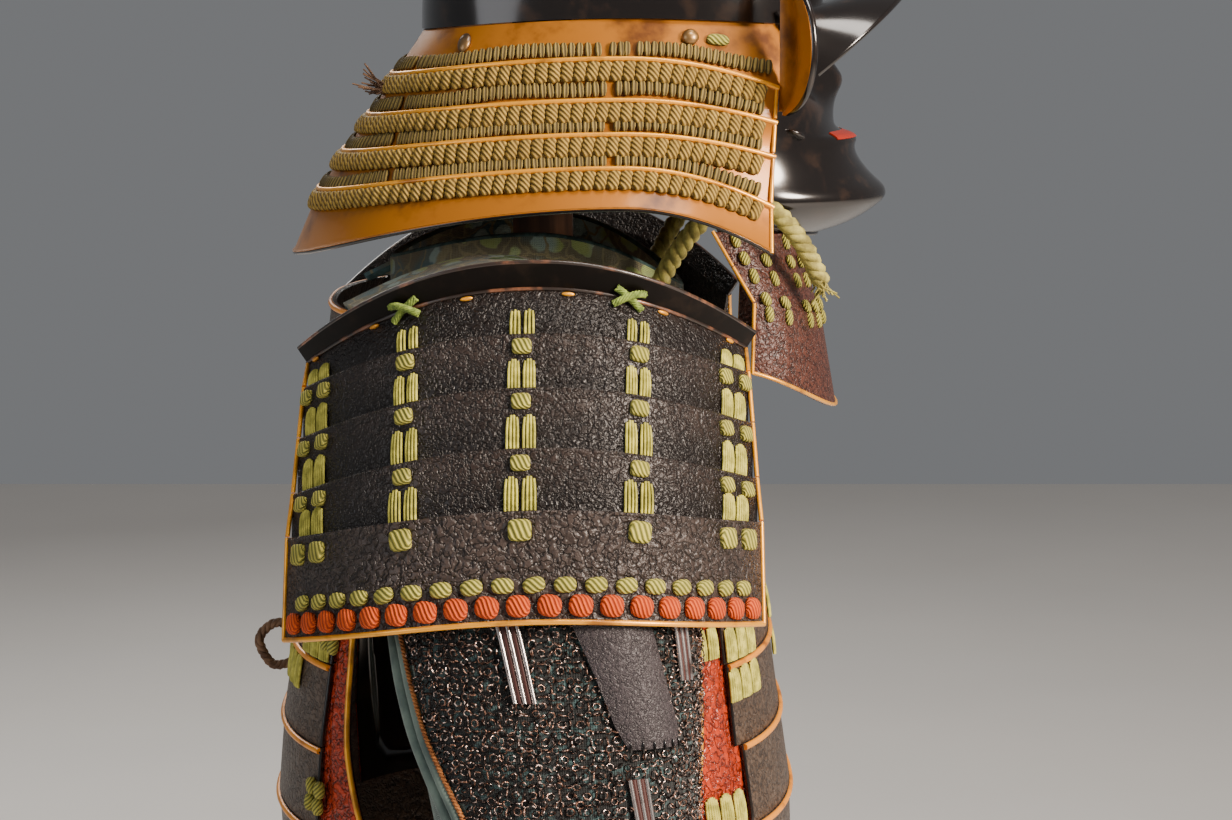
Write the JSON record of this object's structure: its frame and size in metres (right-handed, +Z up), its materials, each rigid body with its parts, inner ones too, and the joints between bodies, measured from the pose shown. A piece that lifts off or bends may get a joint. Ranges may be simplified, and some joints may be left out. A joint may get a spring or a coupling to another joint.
{
  "type": "samurai armour on a display stand",
  "caption": "Lamellar samurai armour with a helmet, half mask, cuirass, shoulder guards and mail sleeves on a wooden stand.",
  "frame": {"origin": "middle of the base board's underside", "axes": "+X forward, the way the mask faces; +Y to the wearer's left; +Z up"},
  "size_m": [0.4381, 0.6308, 1.217],
  "materials": {
    "black_lacquer": "black lacquer, glossy",
    "gold_lacquer": "gold lacquer with olive silk braid",
    "wrinkled_leather": "dark wrinkled lacquered leather, satin",
    "red_leather": "red wrinkled lacquered leather with a gold rim",
    "mail": "dark mail on blue-green hemp cloth",
    "brocade": "blue, green and gold brocade",
    "pale_cord": "yellow-green braided silk",
    "brown_cord": "brown braided silk",
    "wood": "dark stained wood, satin"
  },
  "bodies": {
    "root": {"arm_plate_left": "wrinkled_leather", "arm_plate_right": "wrinkled_leather", "armhole_panel_left": "red_leather", "armhole_panel_right": "red_leather", "back_loop": "brown_cord", "chin_cord_left": "pale_cord", "chin_cord_right": "pale_cord", "cuirass_back_lame_1": "wrinkled_leather", "cuirass_back_lame_2": "wrinkled_leather", "cuirass_back_lame_3": "wrinkled_leather", "cuirass_back_lame_4": "wrinkled_leather", "cuirass_back_lame_5": "wrinkled_leather", "cuirass_back_lame_6": "wrinkled_leather", "cuirass_front_lame_1": "wrinkled_leather", "cuirass_front_lame_2": "wrinkled_leather", "cuirass_front_lame_3": "wrinkled_leather", "cuirass_front_lame_4": "wrinkled_leather", "cuirass_front_lame_5": "wrinkled_leather", "cuirass_front_lame_6": "wrinkled_leather", "face_mask": "black_lacquer", "hand_plate_left": "wrinkled_leather", "hand_plate_right": "wrinkled_leather", "helmet_bowl": "black_lacquer", "helmet_ear_left": "gold_lacquer", "helmet_ear_right": "gold_lacquer", "helmet_visor": "black_lacquer", "neck_collar": "brocade", "neck_guard_band": "gold_lacquer", "neck_guard_lame_1": "gold_lacquer", "neck_guard_lame_2": "gold_lacquer", "neck_guard_lame_3": "gold_lacquer", "neck_guard_lame_4": "gold_lacquer", "shoulder_guard_lame_1_left": "wrinkled_leather", "shoulder_guard_lame_1_right": "wrinkled_leather", "shoulder_guard_lame_2_left": "wrinkled_leather", "shoulder_guard_lame_2_right": "wrinkled_leather", "shoulder_guard_lame_3_left": "wrinkled_leather", "shoulder_guard_lame_3_right": "wrinkled_leather", "shoulder_guard_lame_4_left": "wrinkled_leather", "shoulder_guard_lame_4_right": "wrinkled_leather", "shoulder_guard_top_left": "wrinkled_leather", "shoulder_guard_top_right": "wrinkled_leather", "shoulder_strap_left": "brocade", "shoulder_strap_right": "brocade", "skirt_plate_1": "wrinkled_leather", "skirt_plate_2": "wrinkled_leather", "skirt_plate_3": "wrinkled_leather", "skirt_plate_4": "wrinkled_leather", "skirt_plate_5": "wrinkled_leather", "skirt_plate_6": "wrinkled_leather", "skirt_plate_7": "wrinkled_leather", "sleeve_lower_left": "mail", "sleeve_lower_right": "mail", "sleeve_upper_left": "mail", "sleeve_upper_right": "mail", "stand_base": "wood", "stand_post": "wood", "throat_lame_1": "wrinkled_leather", "throat_lame_2": "wrinkled_leather", "throat_lame_3": "wrinkled_leather"}
  },
  "joints": []
}
